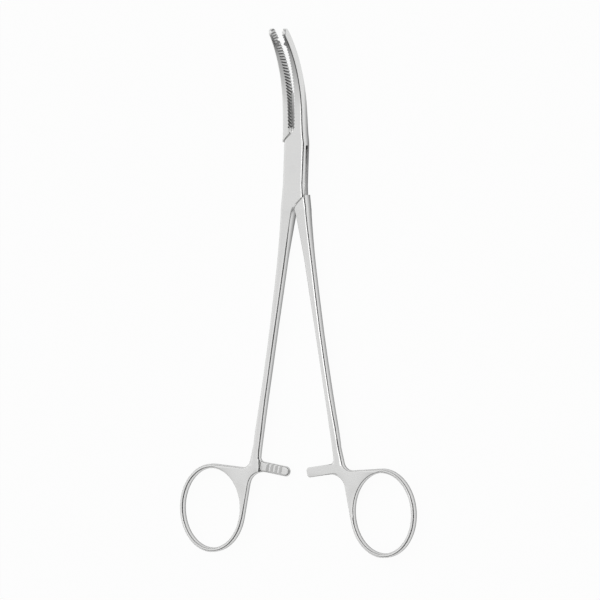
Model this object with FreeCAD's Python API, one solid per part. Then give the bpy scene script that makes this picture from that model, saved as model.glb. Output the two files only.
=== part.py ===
import FreeCAD, Part
import os
from math import acos, atan2, cos, hypot, pi, radians, sin, sqrt, tan
from FreeCAD import Placement, Rotation, Vector

# Curved hysterectomy forceps with a box lock, finger rings and a ratchet.
# Millimetres. The origin is on the pivot axis at the back face of the box lock: X is the
# spread of the handles, +Y runs along the middle line to the jaw tips, +Z is the pivot axis.
# Both halves are shaped shut and then swung apart about the pivot to the opening at rest.

os.makedirs("parts", exist_ok=True)

# Opening
opening_at_rest = 4.7        # degrees between the two halves
seam = 0.03                  # from each half to the middle plane when shut

# Box lock and pivot
box_width = 8.9
box_thickness = 5.9
box_corner = 1.1
box_flare = 0.6              # of each side, from flare_start to the fork of the shanks
flare_start = 6.0            # from the pivot towards the shanks
corner_flats = 3             # that round each long edge
shoulder_start = 10.6        # pivot to the corner where a shoulder leaves the side of the box
shoulder_fillet = 3.0
slot_height = 1.8
slot_radius = 10.5
tongue_play = 0.05           # above and below the tongue
tongue_end_play = 2.0        # pocket between the round ends of the tongue and of the slot
tongue_recess = 0.3          # side of the tongue behind the side of the box
pin_diameter = 3.0
pin_play = 0.03              # between the pin and the bore of the tongue

# Sections of the lofts: a power above 1 draws them together near the box
station_power = 1.25

# Jaws; places are distances from the pivot along the middle line of the jaws
jaw_start = 10.0             # where the level box ends and the jaws begin to lift
jaw_lift = 3.3               # degrees
jaw_lift_radius = 80.0
jaw_bend_start = 22.7
jaw_bend = 42.0              # degrees
jaw_bend_radius = 48.0
jaw_stations = 12
jaw_root_thickness = 3.9
jaw_tip_thickness = 1.45
jaw_tip_depth = 3.5
jaw_tip_corner = 0.5

# Gripping faces
groove_pitch = 1.34          # along the middle line of the jaw
groove_width = 0.7
groove_depth = 0.42
groove_slant = 31.5          # degrees from straight across
groove_lean = 0.12           # of the floor towards the tip, which makes that side steeper
grooves_start = 14.9
heel_relief = 0.95           # of the left gripping face at its heel
heel_relief_end = 38.0       # where the relief has run out
heel_radius = 0.6
tooth_place = 5.1            # back from the middle of the rounded tip
tooth_height = 1.15
tooth_back = 1.12            # foot of the tooth, from its crest towards the pivot
tooth_front = 0.68           # and towards the tip
tooth_crest = 0.3
tooth_root = 0.5             # of the tooth inside the jaw
notch_play = 0.12

# Shanks; places are distances from the pivot
shank_length = 118.6         # to the ratchet arms
shank_fork = 16.0            # where the shanks part
shank_root = 22.0
shank_slim = 36.0
shank_waist = 66.0
shank_swell = 92.0
shank_knee = 12.0            # above the ratchet arms, where the shanks turn parallel
shank_knee_offset = 0.6
shank_spread = 13.1          # middle plane to the middle of a shank at the ratchet arm
shank_bow = 0.45
shank_stations = 12
shank_root_width = 4.3
shank_slim_width = 3.6
shank_waist_width = 2.6
shank_foot_width = 3.2
shank_root_thickness = 5.2
shank_thickness = 4.1
shank_corner = 1.0
fork_corner = 0.2            # of the inner edges where the shanks part

# Finger rings and their webs
foot_thickness = 3.1
foot_edge = 0.6
ring_out = 18.9              # middle of the shank at the arm to the middle of the ring
ring_drop = 18.1             # middle of the arm to the middle of the ring
ring_half_width = 13.3       # to the middle of the wire of the ring
ring_half_length = 16.75
ring_wire = 1.65
neck_length = 9.0            # of the foot inside the shank
neck_inset = 0.1             # of the foot's sides inside the shank at the arm
neck_taper = 0.4             # more inset at the top of the neck
web_top_out = 1.6            # outer top corner of the web, from the side of the shank
web_top_drop = 1.2           # and below the middle of the arm
web_top_fillet = 3.6
web_low_out = 0.6            # inner low corner of the web, from the side of the shank
web_inner_fillet = 6.0

# Ratchet
arm_slope = 7.0              # degrees
arm_height = 4.0
arm_gap = 0.06               # from each row of teeth to the middle of the thickness
arm_step = 11.2              # middle plane to the step from the web down to an arm
arm_flare = 9.2              # middle plane to the end of the fillets at the root of an arm
arm_root = 1.5               # of the arm inside the web
arm_fillet = 2.2
back_arm_reach = 1.2         # past the middle plane when shut
front_arm_reach = 0.1
back_arm_nose = 1.9          # corner radii of the ends of the arms
front_arm_nose = 1.2
ratchet_start = 2.0          # middle plane to the wall of the first valley when shut
ratchet_pitch = 1.9
ratchet_depth = 0.7
ratchet_teeth = 4
ratchet_slope_share = 0.7
arm_edge = 0.3
arm_round = 1.0              # of the toothed side

# Worked out from the sizes above
z_mid = box_thickness / 2
half_width = box_width / 2
fork_side = half_width + box_flare
shoulder_top = shoulder_start + half_width
crotch = shoulder_top + seam + shoulder_fillet * tan(pi / 8)
ring_x = shank_spread + ring_out
ring_y = -shank_length - ring_drop
arm_depth = foot_thickness / 2 - arm_gap

# Reach of the cutting shapes past the object, and the width of a match between edges
far = 300.0
spare = 1.0
near = 0.01


def edge_line(a, b):
    return Part.LineSegment(a, b).toShape()


def edge_arc(a, b, c):
    return Part.Arc(a, b, c).toShape()


def corner_points(x, n, side_x, side_n, radius):
    """Points of the flats that round the corner at x, n of a section."""
    start = {(-1, 1): 180, (1, 1): 90, (1, -1): 0, (-1, -1): -90}[(side_x, side_n)]
    points = []
    for i in range(corner_flats + 1):
        angle = radians(start - 90 * i / corner_flats)
        points.append((x - side_x * radius + radius * cos(angle),
                       n - side_n * radius + radius * sin(angle)))
    return points


def section(centre, across, low_x, high_x, depth, low_corner, high_corner):
    """Rectangle with rounded corners between two X values, in the plane of X and across."""
    half = depth / 2
    flat = (corner_points(low_x, half, -1, 1, low_corner) + corner_points(high_x, half, 1, 1, high_corner)
            + corner_points(high_x, -half, 1, -1, high_corner)
            + corner_points(low_x, -half, -1, -1, low_corner))
    points = [centre + Vector(x, 0, 0) + across * n for x, n in flat]
    return Part.makePolygon(points + [points[0]])


def rounded_path(corners, closed):
    """Flat edges through x, y, radius corners; a radius of 0 leaves the corner sharp."""
    count = len(corners)
    ends = []
    for i in range(count):
        x, y, radius = corners[i]
        here = Vector(x, y, 0)
        if radius == 0:
            ends.append((here, None, here))
            continue
        back = (Vector(corners[i - 1][0], corners[i - 1][1], 0) - here).normalize()
        on = (Vector(corners[(i + 1) % count][0], corners[(i + 1) % count][1], 0) - here).normalize()
        half_angle = back.getAngle(on) / 2
        reach = radius / tan(half_angle)
        depth = radius / sin(half_angle) - radius
        middle = (back + on).normalize()
        ends.append((here + back * reach, here + middle * depth, here + on * reach))
    edges = []
    for i in range(count):
        first, middle, last = ends[i]
        if middle is not None:
            edges.append(edge_arc(first, middle, last))
        if i < count - 1 or closed:
            edges.append(edge_line(last, ends[(i + 1) % count][0]))
    return edges


def outline(corners):
    return Part.Wire(rounded_path(corners, True))


def prism(wire, z_low, z_high):
    face = Part.Face(wire)
    face.translate(Vector(0, 0, z_low))
    return face.extrude(Vector(0, 0, z_high - z_low))


def half_turn_z(shape):
    turned = shape.copy()
    turned.rotate(Vector(0, 0, 0), Vector(0, 0, 1), 180)
    return turned


# Middle line of the jaws: level in the box, a short arc that lifts it, then one long arc upwards

lift = radians(jaw_lift)
bend = radians(jaw_bend)
lift_centre = Vector(0, jaw_start, z_mid + jaw_lift_radius)
lift_end = jaw_start + jaw_lift_radius * lift
lift_top = lift_centre + Vector(0, sin(lift), -cos(lift)) * jaw_lift_radius
bend_start = lift_top + Vector(0, cos(lift), sin(lift)) * (jaw_bend_start - lift_end)
bend_centre = bend_start + Vector(0, -sin(lift), cos(lift)) * jaw_bend_radius
jaw_end = jaw_bend_start + jaw_bend_radius * bend


def jaw_frame(along):
    """Point, direction and cross direction of the middle line, a length along it from the pivot."""
    if along <= jaw_start:
        slope = 0.0
        point = Vector(0, along, z_mid)
    elif along <= lift_end:
        slope = (along - jaw_start) / jaw_lift_radius
        point = lift_centre + Vector(0, sin(slope), -cos(slope)) * jaw_lift_radius
    elif along <= jaw_bend_start:
        slope = lift
        point = lift_top + Vector(0, cos(slope), sin(slope)) * (along - lift_end)
    else:
        slope = lift + (along - jaw_bend_start) / jaw_bend_radius
        point = bend_centre + Vector(0, sin(slope), -cos(slope)) * jaw_bend_radius
    return point, Vector(0, cos(slope), sin(slope)), Vector(0, -sin(slope), cos(slope))


def between(knots, place):
    """Value at a place on a run of straight lines through place, value pairs."""
    for (p0, v0), (p1, v1) in zip(knots, knots[1:]):
        if place <= p1:
            return v0 + (v1 - v0) * (place - p0) / (p1 - p0)
    return knots[-1][1]


def jaw_depth(along):
    return between([(jaw_start, box_thickness), (shoulder_top, box_thickness), (jaw_end, jaw_tip_depth)],
                   along)


def jaw_bar():
    """Both jaws as one bar, with the rounded tip turned from half of the last section."""
    thicknesses = [(jaw_start, half_width), (shoulder_top, jaw_root_thickness),
                   (jaw_end, jaw_tip_thickness)]
    corners = [(jaw_start, box_corner), (shoulder_top, box_corner), (jaw_end, jaw_tip_corner)]
    wires = []
    for i in range(jaw_stations + 1):
        along = jaw_start + (jaw_end - jaw_start) * (i / jaw_stations) ** station_power
        point, direction, across = jaw_frame(along)
        thickness = between(thicknesses, along)
        corner = between(corners, along)
        wires.append(section(point, across, -thickness, thickness, jaw_depth(along), corner, corner))
    bar = Part.makeLoft(wires, True)
    half = jaw_tip_depth / 2
    tip = jaw_tip_thickness
    flat = ([(-tip, 0)] + corner_points(-tip, half, -1, 1, jaw_tip_corner)
            + corner_points(tip, half, 1, 1, jaw_tip_corner) + [(tip, 0)])
    rim = [point + Vector(x, 0, 0) + across * n for x, n in flat]
    nose = Part.Face(Part.makePolygon(rim + [rim[0]])).revolve(point, Vector(1, 0, 0), -180)
    return bar.fuse(nose)


def across_prism(along, points, length, slant):
    """Prism that lies across the gripping face; points are along-the-jaw, X pairs."""
    point, direction, across = jaw_frame(along)
    angle = radians(slant)
    axis = across * cos(angle) + direction * sin(angle)
    normal = direction * cos(angle) - across * sin(angle)
    start = point - axis * (length / 2)
    corners = [start + normal * p[0] + Vector(p[1], 0, 0) for p in points]
    return Part.Face(Part.makePolygon(corners + [corners[0]])).extrude(axis * length)


def face_place(y, heel):
    """X of a right-hand gripping face; heel is its relief at the shoulder."""
    share = (heel_relief_end - y) / (heel_relief_end - shoulder_top)
    return seam + heel * max(0.0, share)


def grooves(heel):
    """V grooves into the gripping face from the crotch to the tip, each past the face by its depth."""
    cutters = []
    crossing = 2 * box_thickness / cos(radians(groove_slant))
    back = -groove_width - groove_lean
    front = groove_width - groove_lean
    along = grooves_start
    while along < jaw_end + jaw_tip_depth / 2:
        place = min(along, jaw_end)
        beyond = along - place
        face = face_place(jaw_frame(place)[0].y, heel)
        points = [(beyond + back, face - groove_depth), (beyond + front, face - groove_depth),
                  (beyond + groove_lean, face + groove_depth)]
        cutters.append(across_prism(place, points, crossing, groove_slant))
        along += groove_pitch
    above_crotch = Part.makeBox(far, far, far, Vector(-far / 2, crotch, -far / 2))
    return [cutter.common(above_crotch) for cutter in cutters]


tooth_along = jaw_end - tooth_place


def tooth():
    """Cross ridge of the right jaw; it stands past the middle plane into the notch."""
    crest = seam - tooth_height
    points = [(-tooth_back, seam + tooth_root), (-tooth_back, seam), (-tooth_crest / 2, crest),
              (tooth_crest / 2, crest), (tooth_front, seam), (tooth_front, seam + tooth_root)]
    return across_prism(tooth_along, points, jaw_depth(tooth_along) - 2 * jaw_tip_corner, 0)


def notch():
    """Notch right across the left jaw, the tooth's outline with play all round."""
    floor = seam - tooth_height - notch_play
    half_crest = tooth_crest / 2 + notch_play
    points = [(-tooth_back - notch_play, seam), (-half_crest, floor), (half_crest, floor),
              (tooth_front + notch_play, seam)]
    return across_prism(tooth_along, points, 2 * box_thickness, 0)


# Plan of the shoulders: each half keeps its own side of this outline

def box_half_region():
    return outline([
        (seam, far, 0), (seam, shoulder_top + seam, shoulder_fillet),
        (-far / 2, shoulder_top - far / 2, 0), (-far / 2, -far, 0),
        (-seam, -far, 0), (-seam, -shoulder_top - seam, shoulder_fillet),
        (far / 2, far / 2 - shoulder_top, 0), (far / 2, far, 0),
    ])


def tongue_half_region(heel, corner_radius):
    """The left jaw's side of the shoulder line; heel is the relief of its face at the shoulder."""
    gap = 2 * seam
    line = shoulder_top + gap * sqrt(2)
    taper = heel / (heel_relief_end - shoulder_top)
    corner_x = -(seam + taper * (heel_relief_end - line)) / (1 - taper)
    return outline([
        (-seam, far, 0), (-seam, heel_relief_end, 0), (corner_x, corner_x + line, corner_radius),
        (-far / 2, line - far / 2, 0), (-far / 2, far, 0),
    ])


def pivot_cylinder(radius):
    return Part.makeCylinder(radius, box_thickness)


def slot_plan(radius, side):
    """Plan of the slot or of the tongue: a disc and the two quarters that lead out of the box."""
    reach = 2 * shoulder_top
    disc = pivot_cylinder(radius)
    quarter = Part.makeBox(reach, reach, box_thickness, Vector(side - reach, 0, 0))
    return disc.fuse([quarter, half_turn_z(quarter)])


def slab(half_height):
    reach = 4 * shoulder_top
    return Part.makeBox(reach, reach, 2 * half_height,
                        Vector(-reach / 2, -reach / 2, z_mid - half_height))


def box_block():
    """The box with its sides flared towards the shanks, before it is parted in two halves."""
    wires = []
    for y, side in ((-shank_fork, fork_side), (-flare_start, half_width), (jaw_start, half_width)):
        wires.append(section(Vector(0, y, z_mid), Vector(0, 0, 1), -side, side, box_thickness,
                             box_corner, box_corner))
    return Part.makeLoft(wires, True, True)


# One shank with its ring and ratchet arm, on the +X side; the arm lies in the front half

def shank():
    knee = shank_length - shank_knee
    middles = [(shank_fork, (seam + fork_side) / 2), (knee, shank_spread - shank_knee_offset),
               (shank_length, shank_spread)]
    widths = [(shank_fork, fork_side - seam), (shank_root, shank_root_width),
              (shank_slim, shank_slim_width), (shank_waist, shank_waist_width),
              (shank_swell, shank_waist_width),
              (knee, shank_foot_width), (shank_length, shank_foot_width)]
    depths = [(shank_fork, box_thickness), (shank_root, shank_root_thickness),
              (shank_slim, shank_thickness), (shank_swell, shank_thickness),
              (shank_length, foot_thickness)]
    inner_corners = [(shank_fork, fork_corner), (shank_slim, shank_corner)]
    wires = []
    for i in range(shank_stations + 1):
        down = shank_fork + (shank_length - shank_fork) * (i / shank_stations) ** station_power
        share = min(1.0, (down - shank_fork) / (knee - shank_fork))
        middle = between(middles, down) - 4 * shank_bow * share * (1 - share)
        half = between(widths, down) / 2
        wires.append(section(Vector(0, -down, z_mid), Vector(0, 0, 1), middle - half, middle + half,
                             between(depths, down), between(inner_corners, down), shank_corner))
    return Part.makeLoft(wires, True)


def tangent_angle(point, half_x, half_y, side):
    """Parameter of the ellipse about the ring's centre where a line from point touches it."""
    dx = (point[0] - ring_x) / half_x
    dy = (point[1] - ring_y) / half_y
    return atan2(dy, dx) + side * acos(1 / hypot(dx, dy))


def arm_y(x, offset):
    """Height of a line along the ratchet arm, offset from its middle."""
    slope = radians(arm_slope)
    return -shank_length + (x - shank_spread) * tan(slope) + offset / cos(slope)


def foot():
    """Web, ring and root of the ratchet arm: one plate, stepped down to the half that the arm is in."""
    half_x = ring_half_width + ring_wire / 2
    half_y = ring_half_length + ring_wire / 2
    inner_x = shank_spread - shank_foot_width / 2 + neck_inset
    outer_x = shank_spread + shank_foot_width / 2 - neck_inset
    neck_y = neck_length - shank_length
    top_corner = (outer_x + web_top_out, -shank_length - web_top_drop)
    low = z_mid - foot_thickness / 2
    high = z_mid + foot_thickness / 2
    low_corner = (outer_x + web_low_out, arm_y(outer_x + web_low_out, -arm_height / 2))
    top_angle = tangent_angle(top_corner, half_x, half_y, -1)
    low_angle = tangent_angle(low_corner, half_x, half_y, 1)
    top_touch = Vector(ring_x + half_x * cos(top_angle), ring_y + half_y * sin(top_angle), 0)
    low_touch = Vector(ring_x + half_x * cos(low_angle), ring_y + half_y * sin(low_angle), 0)
    edges = rounded_path([
        (top_touch.x, top_touch.y, 0),
        (top_corner[0], top_corner[1], web_top_fillet),
        (outer_x - neck_taper, neck_y, 0),
        (inner_x + neck_taper, neck_y, 0),
        (inner_x, arm_y(inner_x, arm_height / 2), arm_fillet),
        (arm_flare, arm_y(arm_flare, arm_height / 2), 0),
        (arm_flare, arm_y(arm_flare, -arm_height / 2), 0),
        (low_corner[0], low_corner[1], web_inner_fillet),
        (low_touch.x, low_touch.y, 0),
    ], False)
    quarter = pi / 2
    rim = Part.Ellipse(Vector(0, 0, 0), half_y, half_x)
    edges.append(Part.ArcOfEllipse(rim, low_angle - quarter, top_angle - quarter).toShape())
    edges[-1].Placement = Placement(Vector(ring_x, ring_y, 0), Rotation(Vector(0, 0, 1), 90))
    plate = prism(Part.Wire(edges), low, high)
    hole = Part.Ellipse(Vector(0, 0, 0), half_y - ring_wire, half_x - ring_wire).toShape()
    hole.Placement = Placement(Vector(ring_x, ring_y, 0), Rotation(Vector(0, 0, 1), 90))
    plate = plate.cut(prism(Part.Wire([hole]), low - spare, high + spare))
    behind_arm = Part.makeBox(arm_step, far, z_mid + arm_gap - low + spare,
                              Vector(0, neck_y - far, low - spare))
    plate = plate.cut(behind_arm)
    rims = [e for e in plate.Edges if e.BoundBox.YMax < neck_y - near
            and (abs(e.BoundBox.ZMin - high) < near or abs(e.BoundBox.ZMax - low) < near)
            and e.BoundBox.XMax > arm_flare + near]
    plate = plate.makeChamfer(foot_edge, rims)
    arm_back = z_mid + arm_gap
    root = [e for e in plate.Edges if abs(e.BoundBox.ZMax - arm_back) < near
            and abs(e.BoundBox.ZMin - arm_back) < near and e.BoundBox.XMin < arm_step - near
            and e.BoundBox.XMax > arm_flare + near]
    return plate.makeFillet(min(arm_round, arm_depth - foot_edge - near), root)


def arm(reach, nose):
    """Ratchet arm in the front half of the thickness, with its teeth to the back."""
    slope = radians(arm_slope)
    root_x = arm_step + arm_root
    length = (root_x + reach) / cos(slope)
    half = arm_height / 2
    bar = Part.makeBox(length, arm_height, arm_depth, Vector(0, -half, 0))
    bar = bar.makeFillet(nose, [e for e in bar.Edges if abs(e.BoundBox.XMin - length) < near
                                and e.BoundBox.ZMax - e.BoundBox.ZMin > arm_depth - near])
    smooth = [e for e in bar.Edges if abs(e.BoundBox.ZMin - arm_depth) < near and e.BoundBox.XMax > near]
    bar = bar.makeChamfer(arm_edge, smooth)
    toothed = [e for e in bar.Edges if abs(e.BoundBox.ZMax) < near and e.BoundBox.XMax > near]
    bar = bar.makeFillet(min(arm_round, arm_depth - arm_edge - near), toothed)
    valleys = []
    for i in range(ratchet_teeth):
        wall = (root_x - ratchet_start - i * ratchet_pitch) / cos(slope)
        slope_foot = wall - ratchet_pitch * ratchet_slope_share
        side = -half - spare
        valley = Part.makePolygon([Vector(wall, side, -spare), Vector(wall, side, ratchet_depth),
                                   Vector(slope_foot, side, 0), Vector(slope_foot, side, -spare),
                                   Vector(wall, side, -spare)])
        valleys.append(Part.Face(valley).extrude(Vector(0, arm_height + 2 * spare, 0)))
    bar = bar.cut(valleys)
    inwards = Rotation(Vector(0, 0, 1), 180 + arm_slope)
    bar.Placement = Placement(Vector(root_x, arm_y(root_x, 0), z_mid + arm_gap), inwards)
    return bar


def handle(reach, nose):
    return shank().fuse([foot(), arm(reach, nose)])


def mirrored(shape):
    return shape.mirror(Vector(0, 0, 0), Vector(1, 0, 0))


def swung(shape, degrees_open):
    turned = shape.copy()
    turned.rotate(Vector(0, 0, 0), Vector(0, 0, 1), degrees_open)
    return turned


def box_side():
    """The half that carries the box: right jaw, both plates, left shank and the back arm."""
    region = prism(box_half_region(), -far, far)
    body = jaw_bar().fuse(box_block()).common(region)
    slot = slot_plan(slot_radius, seam).common(slab(slot_height / 2))
    body = body.cut(grooves(0) + [slot, joint_pin()])
    ridge = tooth()
    lever = handle(back_arm_reach, back_arm_nose)
    lever.rotate(Vector(0, 0, z_mid), Vector(0, 1, 0), 180)
    return body.fuse([ridge, lever])


def tongue_side():
    """The half that carries the tongue: left jaw, tongue, right shank and the front arm."""
    blank = jaw_bar().fuse(box_block())
    jaw_side = prism(tongue_half_region(heel_relief, heel_radius), -far, far)
    shank_side = half_turn_z(prism(tongue_half_region(0, shoulder_fillet - 2 * seam), -far, far))
    body = blank.common(jaw_side.fuse(shank_side))
    body = mirrored(mirrored(body).cut(grooves(heel_relief))).cut(notch())
    plan = slot_plan(slot_radius - tongue_end_play, -seam)
    tongue = blank.common(plan).common(slab(slot_height / 2 - tongue_play))
    side = Part.makeBox(tongue_recess + spare, 2 * shoulder_start, box_thickness,
                        Vector(half_width - tongue_recess, -shoulder_start, 0))
    tongue = tongue.cut([side, half_turn_z(side)])
    body = body.fuse([tongue, handle(front_arm_reach, front_arm_nose)])
    return body.cut(pivot_cylinder(pin_diameter / 2 + pin_play))


def joint_pin():
    """Plain pin, riveted in both plates and ground flush; it also cuts its own bores."""
    return pivot_cylinder(pin_diameter / 2)


for name, shape in (("box_half", swung(box_side(), -opening_at_rest / 2)),
                    ("tongue_half", swung(tongue_side(), opening_at_rest / 2)),
                    ("joint_pin", joint_pin())):
    print(name, shape.isValid(), len(shape.Solids), round(shape.Volume, 2), len(shape.Faces))
    shape.exportStep("parts/" + name + ".step")
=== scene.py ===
from math import cos, radians, sin

import bmesh
import bpy
from mathutils import Matrix, Vector


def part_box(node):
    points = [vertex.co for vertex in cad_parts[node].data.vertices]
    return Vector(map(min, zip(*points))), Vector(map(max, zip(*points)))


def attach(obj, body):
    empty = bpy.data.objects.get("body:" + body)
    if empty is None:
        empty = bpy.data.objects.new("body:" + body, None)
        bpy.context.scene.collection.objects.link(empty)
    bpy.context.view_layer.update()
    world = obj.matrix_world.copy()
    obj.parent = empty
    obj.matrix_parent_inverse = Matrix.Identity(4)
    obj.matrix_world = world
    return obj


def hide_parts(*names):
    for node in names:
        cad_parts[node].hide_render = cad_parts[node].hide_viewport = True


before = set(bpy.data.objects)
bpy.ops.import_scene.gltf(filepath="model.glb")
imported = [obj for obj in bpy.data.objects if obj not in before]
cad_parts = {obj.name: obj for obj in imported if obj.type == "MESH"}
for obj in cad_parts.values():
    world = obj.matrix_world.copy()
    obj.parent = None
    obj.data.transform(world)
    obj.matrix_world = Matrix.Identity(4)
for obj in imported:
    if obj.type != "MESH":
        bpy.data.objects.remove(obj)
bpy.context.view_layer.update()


# Box half: the right jaw, the two plates of the box lock, the left shank, ratchet arm and ring.
# It is one drop forging of stainless steel, milled at the jaw and the box, then ground and
# blasted with fine glass beads, which leaves a pale satin skin and slightly rounded edges.

forging_colour = (0.74, 0.74, 0.735)
forging_roughness = 0.25
forging_patchiness = 0.08       # how far the roughness wanders from patch to patch
blast_grain = 5200.0            # pits per metre
blast_detail = 2.0
blast_depth = 0.00002
blast_strength = 0.25           # share of that depth which shows in the sheen
handling_patch = 45.0           # soft patches per metre
patch_detail = 4.0
patch_middle = 0.5              # value of a patch at which the roughness stays as given
darkest_patch = 0.95            # times the colour of the steel
palest_patch = 1.03
painted_shade_tone = 0.44                 # colour of the painted shade in a milled groove, times that of the blasted skin
cut_roughness = 0.25            # added to the roughness of every milled face
land_share = 0.12               # how much of that painted shade the lands between the grooves have


def add_node(tree, kind, **settings):
    node = tree.nodes.new(kind)
    for name, value in settings.items():
        setattr(node, name, value)
    return node


def blasted_surface():
    """Node group for bead-blasted steel: colour, roughness and height that vary over the surface,
    with a rougher finish and painted shade on the milled faces.
    """
    group = bpy.data.node_groups.new("blasted_surface", "ShaderNodeTree")
    sockets = group.interface
    sockets.new_socket("Steel", in_out="INPUT", socket_type="NodeSocketColor")
    sockets.new_socket("Rough", in_out="INPUT", socket_type="NodeSocketFloat")
    sockets.new_socket("Patchiness", in_out="INPUT", socket_type="NodeSocketFloat")
    sockets.new_socket("Cut_and_shade", in_out="INPUT", socket_type="NodeSocketFloat")
    sockets.new_socket("Color", in_out="OUTPUT", socket_type="NodeSocketColor")
    sockets.new_socket("Roughness", in_out="OUTPUT", socket_type="NodeSocketFloat")
    sockets.new_socket("Height", in_out="OUTPUT", socket_type="NodeSocketFloat")
    inside = add_node(group, "NodeGroupInput")
    outside = add_node(group, "NodeGroupOutput")
    place = add_node(group, "ShaderNodeTexCoord")
    pits = add_node(group, "ShaderNodeTexNoise")
    pits.inputs["Scale"].default_value = blast_grain
    pits.inputs["Detail"].default_value = blast_detail
    patches = add_node(group, "ShaderNodeTexNoise")
    patches.inputs["Scale"].default_value = handling_patch
    patches.inputs["Detail"].default_value = patch_detail
    tone = add_node(group, "ShaderNodeMapRange")
    tone.inputs["To Min"].default_value = darkest_patch
    tone.inputs["To Max"].default_value = palest_patch
    # painted shade: the colour gets darker on the milled faces, which lie where shade falls
    painted_cut_shade = add_node(group, "ShaderNodeMapRange")
    painted_cut_shade.inputs["To Min"].default_value = 1.0
    painted_cut_shade.inputs["To Max"].default_value = painted_shade_tone
    shade = add_node(group, "ShaderNodeMath", operation="MULTIPLY")
    tint = add_node(group, "ShaderNodeVectorMath", operation="SCALE")
    centred = add_node(group, "ShaderNodeMath", operation="SUBTRACT")
    centred.inputs[1].default_value = patch_middle
    patchy = add_node(group, "ShaderNodeMath", operation="MULTIPLY_ADD")
    cut_rough = add_node(group, "ShaderNodeMapRange")
    cut_rough.inputs["From Max"].default_value = land_share
    cut_rough.inputs["To Max"].default_value = cut_roughness
    rough = add_node(group, "ShaderNodeMath", operation="ADD")
    link = group.links.new
    link(place.outputs["Object"], pits.inputs["Vector"])
    link(place.outputs["Object"], patches.inputs["Vector"])
    link(patches.outputs["Fac"], tone.inputs["Value"])
    link(inside.outputs["Cut_and_shade"], painted_cut_shade.inputs["Value"])
    link(tone.outputs["Result"], shade.inputs[0])
    link(painted_cut_shade.outputs["Result"], shade.inputs[1])
    link(inside.outputs["Steel"], tint.inputs[0])
    link(shade.outputs["Value"], tint.inputs["Scale"])
    link(tint.outputs["Vector"], outside.inputs["Color"])
    link(patches.outputs["Fac"], centred.inputs[0])
    link(centred.outputs["Value"], patchy.inputs[0])
    link(inside.outputs["Patchiness"], patchy.inputs[1])
    link(inside.outputs["Rough"], patchy.inputs[2])
    link(inside.outputs["Cut_and_shade"], cut_rough.inputs["Value"])
    link(cut_rough.outputs["Result"], rough.inputs[0])
    link(patchy.outputs["Value"], rough.inputs[1])
    link(rough.outputs["Value"], outside.inputs["Roughness"])
    link(pits.outputs["Fac"], outside.inputs["Height"])
    return group


blasted = blasted_surface()


def satin_steel(name, steel, rough, patchiness):
    """Blasted stainless steel: a full metal with a pitted, slightly uneven sheen."""
    material = bpy.data.materials.new(name)
    material.use_nodes = True
    tree = material.node_tree
    shader = tree.nodes["Principled BSDF"]
    shader.inputs["Metallic"].default_value = 1.0
    surface = add_node(tree, "ShaderNodeGroup", node_tree=blasted)
    surface.inputs["Steel"].default_value = (*steel, 1.0)
    surface.inputs["Rough"].default_value = rough
    surface.inputs["Patchiness"].default_value = patchiness
    # This attribute gives the milled faces a rougher finish and painted shade, a darker colour where
    # shade falls in the grooves, the slot and the ratchet.
    milled_and_shade = add_node(tree, "ShaderNodeAttribute", attribute_name="milled_and_shade")
    pitting = add_node(tree, "ShaderNodeBump")
    pitting.inputs["Strength"].default_value = blast_strength
    pitting.inputs["Distance"].default_value = blast_depth
    link = tree.links.new
    link(milled_and_shade.outputs["Fac"], surface.inputs["Cut_and_shade"])
    link(surface.outputs["Color"], shader.inputs["Base Color"])
    link(surface.outputs["Roughness"], shader.inputs["Roughness"])
    link(surface.outputs["Height"], pitting.inputs["Height"])
    link(pitting.outputs["Normal"], shader.inputs["Normal"])
    return material


# Faces that get the milled roughness and painted shade: the gripping faces between the jaws, the
# tongue's sides in the slot and the ratchet valleys, all places that lie in shade.
grip_start = 0.0150             # pivot to the first groove of the gripping faces
grip_reach = 0.0032             # how far from the middle plane a groove can lie
land_slope = 0.90               # the lands between the grooves look this squarely sideways
groove_slope = 0.20             # and the sides of the grooves at least this much
groove_share = 1.0
tongue_reach = 0.0102           # the tongue's bare sides lie this near the pin's axis, along Y
tongue_share = 0.60
ratchet_reach = 0.0140          # the ratchet teeth lie this near the middle plane
ratchet_low = -0.1235           # and between these places along Y
ratchet_high = -0.1155
tooth_flat = (0.5, 0.975)       # their slopes look this squarely to the front or back
tooth_share = 0.22


def milled_and_shade_share(face, node, inwards):
    """How much painted shade a face has, with the milled roughness: none on the blasted skin, all of
    it in a groove.

    The gripping face looks towards +X where inwards is 1, and towards -X where it is -1.
    """
    middle = face.calc_center_median()
    sideways = abs(face.normal.x)
    squarely = abs(face.normal.z)
    in_grip = middle.y > grip_start and abs(middle.x) < grip_reach
    in_tongue = node == "tongue_half" and abs(middle.y) < tongue_reach
    in_ratchet = abs(middle.x) < ratchet_reach and ratchet_low < middle.y < ratchet_high
    if in_grip and face.normal.x * inwards > land_slope:
        return land_share
    if in_grip and face.normal.x * inwards > groove_slope:
        return groove_share
    if in_tongue and sideways > land_slope:
        return tongue_share
    if in_ratchet and tooth_flat[0] < squarely < tooth_flat[1] and abs(face.normal.y) < groove_slope:
        return tooth_share
    if in_ratchet and squarely < tooth_flat[0] and sideways > land_slope:
        return groove_share
    return 0.0


weld_distance = 0.000002        # corners closer than this are one
rounded_edge = radians(50)      # flats that meet at less than this are one rounded edge
flat_weight = 50                # how strongly the large flats hold their own shading


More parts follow.
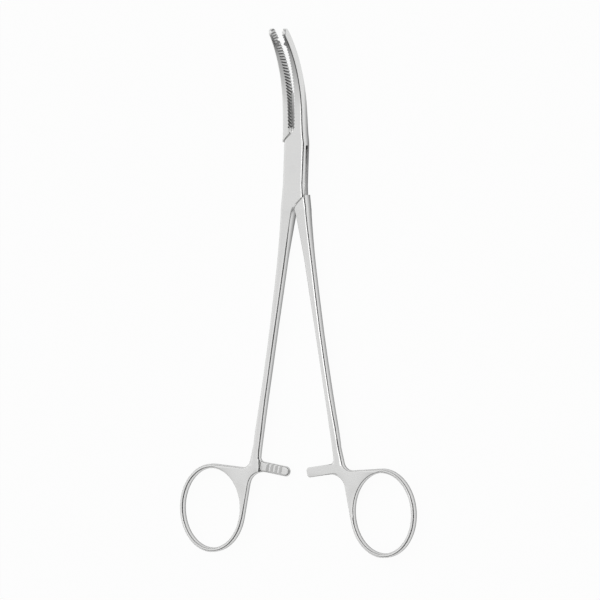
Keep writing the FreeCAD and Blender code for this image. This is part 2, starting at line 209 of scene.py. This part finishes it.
def forged_half(name, node, body, material, inwards):
    """A merged copy of a half, shaded so that the flats along its edges read as one rounding."""
    mesh = bpy.data.meshes.new(name)
    forging = bmesh.new()
    forging.from_mesh(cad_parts[node].data)
    bmesh.ops.remove_doubles(forging, verts=forging.verts, dist=weld_distance)
    # per face: the milled roughness and the share of painted shade
    milled_and_shade = forging.faces.layers.float.new("milled_and_shade")
    for face in forging.faces:
        face.smooth = True
        face.material_index = 0
        face[milled_and_shade] = milled_and_shade_share(face, node, inwards)
    for edge in forging.edges:
        edge.smooth = len(edge.link_faces) == 2 and edge.calc_face_angle() < rounded_edge
    forging.to_mesh(mesh)
    forging.free()
    mesh.materials.clear()
    mesh.materials.append(material)
    piece = bpy.data.objects.new(name, mesh)
    bpy.context.scene.collection.objects.link(piece)
    flats = piece.modifiers.new("flats_stay_flat", "WEIGHTED_NORMAL")
    flats.keep_sharp = True
    flats.weight = flat_weight
    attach(piece, body)
    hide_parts(node)


box_half_steel = satin_steel("box_half_satin_steel", forging_colour, forging_roughness,
                             forging_patchiness)
forged_half("box_half_forging", "box_half", "box_side", box_half_steel, -1)


# Tongue half: the left jaw, the tongue that runs through the box, the right shank, arm and ring.
# It is forged, milled and blasted as its partner is, so that the two match in tone.

tongue_half_steel = satin_steel("tongue_half_satin_steel", forging_colour, forging_roughness,
                                forging_patchiness)
forged_half("tongue_half_forging", "tongue_half", "tongue_side",
            tongue_half_steel, 1)


# Joint pin: a plain stainless pin, riveted in both plates of the box and ground flush.
# It is blasted together with the box, so that only a faint ring can show.

pin_colour = (0.73, 0.73, 0.725)
pin_roughness = 0.27
pin_patchiness = 0.05

pin_steel = satin_steel("joint_pin_satin_steel", pin_colour, pin_roughness, pin_patchiness)
joint_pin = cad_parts["joint_pin"]
joint_pin.data.materials.clear()
joint_pin.data.materials.append(pin_steel)


# Camera: far off and long, above the forceps and leaning to its right.
# Its place is the photograph's, worked out from the directions that it looks along.

camera_lean = radians(26.0)     # from straight above towards +X
camera_tip = radians(2.87)      # towards +Y
camera_roll = radians(-0.274)
camera_distance = 3.166
camera_lens = 480.9             # millimetres, as is the sensor
sensor_width = 36.0
sight_limit = 20.0
frame_right = 0.0016            # pivot to the middle of the picture
frame_down = 0.05178

pin_low, pin_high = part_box("joint_pin")
pivot_height = (pin_low[2] + pin_high[2]) / 2
level = cos(camera_tip)
towards = Vector((sin(camera_lean) * level, sin(camera_tip), cos(camera_lean) * level))
level_right = Vector((cos(camera_lean), 0, -sin(camera_lean)))
level_up = towards.cross(level_right)
right = level_right * cos(camera_roll) + level_up * sin(camera_roll)
up = level_up * cos(camera_roll) - level_right * sin(camera_roll)
camera_data = bpy.data.cameras.new("camera")
camera_data.lens = camera_lens
camera_data.sensor_width = sensor_width
camera_data.clip_end = sight_limit
camera = bpy.data.objects.new("camera", camera_data)
bpy.context.scene.collection.objects.link(camera)
place = (Vector((0, 0, pivot_height)) + towards * camera_distance + right * frame_right
         - up * frame_down)
camera.matrix_world = Matrix.Translation(place) @ Matrix((right, up, towards)).transposed().to_4x4()
bpy.context.scene.camera = camera


# Table and room: a white table under the forceps, in a dark room with light panels above it.
# The camera and the steel see the table as plain white, but the steel sees it darker where the
# two nearly touch, which draws the thin dark line along the edges that face the table.

table_reach = 3.0               # from the middle of the table to its edges
table_top = -0.00002
table_white = 0.95              # share of the table that is plain white to the camera and the steel
board_colour = (0.8, 0.8, 0.8, 1.0)     # colour of the rest
contact_shade = 0.22            # what the steel sees of that white where it nearly touches the table
contact_from = 0.0012           # distances to the table between which this shade fades
contact_to = 0.0050


def white_board(name):
    """Paint that is plain white to the camera, and to the steel except near the contacts."""
    paint = bpy.data.materials.new(name)
    paint.use_nodes = True
    tree = paint.node_tree
    tree.nodes.clear()
    lit = add_node(tree, "ShaderNodeBsdfDiffuse")
    lit.inputs["Color"].default_value = board_colour
    plain = add_node(tree, "ShaderNodeEmission")
    rays = add_node(tree, "ShaderNodeLightPath")
    seen = add_node(tree, "ShaderNodeMath", operation="MAXIMUM")
    white_share = add_node(tree, "ShaderNodeMath", operation="MULTIPLY")
    white_share.inputs[1].default_value = table_white
    contact = add_node(tree, "ShaderNodeMapRange")
    contact.inputs["From Min"].default_value = contact_from
    contact.inputs["From Max"].default_value = contact_to
    contact.inputs["To Min"].default_value = contact_shade
    contact.inputs["To Max"].default_value = 1.0
    glow = add_node(tree, "ShaderNodeMath", operation="MAXIMUM")
    surface_mix = add_node(tree, "ShaderNodeMixShader")
    end = add_node(tree, "ShaderNodeOutputMaterial")
    link = tree.links.new
    link(rays.outputs["Is Camera Ray"], seen.inputs[0])
    link(rays.outputs["Is Glossy Ray"], seen.inputs[1])
    link(seen.outputs["Value"], white_share.inputs[0])
    link(white_share.outputs["Value"], surface_mix.inputs["Fac"])
    link(rays.outputs["Ray Length"], contact.inputs["Value"])
    link(rays.outputs["Is Camera Ray"], glow.inputs[0])
    link(contact.outputs["Result"], glow.inputs[1])
    link(glow.outputs["Value"], plain.inputs["Strength"])
    link(lit.outputs["BSDF"], surface_mix.inputs[1])
    link(plain.outputs["Emission"], surface_mix.inputs[2])
    link(surface_mix.outputs["Shader"], end.inputs["Surface"])
    return paint


table_mesh = bpy.data.meshes.new("table")
board = bmesh.new()
bmesh.ops.create_grid(board, x_segments=1, y_segments=1, size=table_reach,
                      matrix=Matrix.Translation((0, 0, table_top)))
board.to_mesh(table_mesh)
board.free()
table_mesh.materials.append(white_board("board_paint"))
table = bpy.data.objects.new("table", table_mesh)
bpy.context.scene.collection.objects.link(table)

panel_at = (-0.44, 0.0, 0.90)   # towards the middle of the light panels
panel_power = 1.28
weak_panel = 0.50               # share of that power which the panels towards -Y have
weak_until = -0.70              # Y of the directions between which it grows to the whole
full_from = -0.15
dark_wall = 0.06                # the room's own brightness towards -Y
pale_wall = 0.34                # and towards +Y
dark_until = 0.0                # Y of the directions between which it grows
pale_from = 0.8

# The panels stand in a bright ring round a slightly weaker middle, and it is dark beyond them.
# Each pair is the cosine of the angle to that middle, and the share of their power there.
panel_rings = [(0.0, 0.0), (0.30, 0.0), (0.54, 1.0), (0.90, 1.0), (0.975, 0.90), (1.0, 0.90)]


def lit_room(name):
    """A dark room with light panels above, plain white where the camera looks at it."""
    room = bpy.data.worlds.new(name)
    room.use_nodes = True
    tree = room.node_tree
    tree.nodes.clear()
    direction = add_node(tree, "ShaderNodeTexCoord")
    facing = add_node(tree, "ShaderNodeVectorMath", operation="DOT_PRODUCT")
    facing.inputs[1].default_value = panel_at
    panels = add_node(tree, "ShaderNodeValToRGB")
    panels.color_ramp.interpolation = "EASE"
    rings = panels.color_ramp.elements
    while len(rings) < len(panel_rings):
        rings.new(0.5)          # any place will do, as the next lines set it
    for ring, (cosine, light) in zip(rings, panel_rings):
        ring.position = cosine
        ring.color = (light, light, light, 1.0)
    lit_panels = add_node(tree, "ShaderNodeMath", operation="MULTIPLY")
    lit_panels.inputs[1].default_value = panel_power
    sides = add_node(tree, "ShaderNodeSeparateXYZ")
    walls = add_node(tree, "ShaderNodeMapRange", interpolation_type="SMOOTHSTEP")
    walls.inputs["From Min"].default_value = dark_until
    walls.inputs["From Max"].default_value = pale_from
    walls.inputs["To Min"].default_value = dark_wall
    walls.inputs["To Max"].default_value = pale_wall
    near_panels = add_node(tree, "ShaderNodeMapRange")
    near_panels.inputs["From Min"].default_value = weak_until
    near_panels.inputs["From Max"].default_value = full_from
    near_panels.inputs["To Min"].default_value = weak_panel
    near_panels.inputs["To Max"].default_value = 1.0
    all_panels = add_node(tree, "ShaderNodeMath", operation="MULTIPLY")
    panels_or_walls = add_node(tree, "ShaderNodeMath", operation="MAXIMUM")
    rays = add_node(tree, "ShaderNodeLightPath")
    brightness = add_node(tree, "ShaderNodeMath", operation="MAXIMUM")
    background = add_node(tree, "ShaderNodeBackground")
    end = add_node(tree, "ShaderNodeOutputWorld")
    link = tree.links.new
    link(direction.outputs["Generated"], facing.inputs[0])
    link(direction.outputs["Generated"], sides.inputs["Vector"])
    link(facing.outputs["Value"], panels.inputs["Fac"])
    link(panels.outputs["Color"], lit_panels.inputs[0])
    link(sides.outputs["Y"], walls.inputs["Value"])
    link(sides.outputs["Y"], near_panels.inputs["Value"])
    link(lit_panels.outputs["Value"], all_panels.inputs[0])
    link(near_panels.outputs["Result"], all_panels.inputs[1])
    link(all_panels.outputs["Value"], panels_or_walls.inputs[0])
    link(walls.outputs["Result"], panels_or_walls.inputs[1])
    link(panels_or_walls.outputs["Value"], brightness.inputs[0])
    link(rays.outputs["Is Camera Ray"], brightness.inputs[1])
    link(brightness.outputs["Value"], background.inputs["Strength"])
    link(background.outputs["Background"], end.inputs["Surface"])
    return room


bpy.context.scene.world = lit_room("room")


# Lamps: a soft lamp overhead and a little to the right, which draws a bright line along the
# rounded edges on that side, and a weak one on the left, which adds a faint shadow.

overhead_at = (0.42, 0.05, 1.10)
overhead_size = 0.40
overhead_power = 0.70
left_at = (-0.8, 0.35, 0.8)
left_size = 0.5
left_power = 0.2


def soft_lamp(name, place, size, power):
    lamp_data = bpy.data.lights.new(name, "AREA")
    lamp_data.shape = "SQUARE"
    lamp_data.size = size
    lamp_data.energy = power
    lamp = bpy.data.objects.new(name, lamp_data)
    bpy.context.scene.collection.objects.link(lamp)
    lamp.location = place
    lamp.rotation_mode = "QUATERNION"
    lamp.rotation_quaternion = (-Vector(place)).to_track_quat("-Z", "Y")


soft_lamp("lamp_overhead", overhead_at, overhead_size, overhead_power)
soft_lamp("lamp_left", left_at, left_size, left_power)

bpy.context.scene.view_settings.view_transform = "Standard"
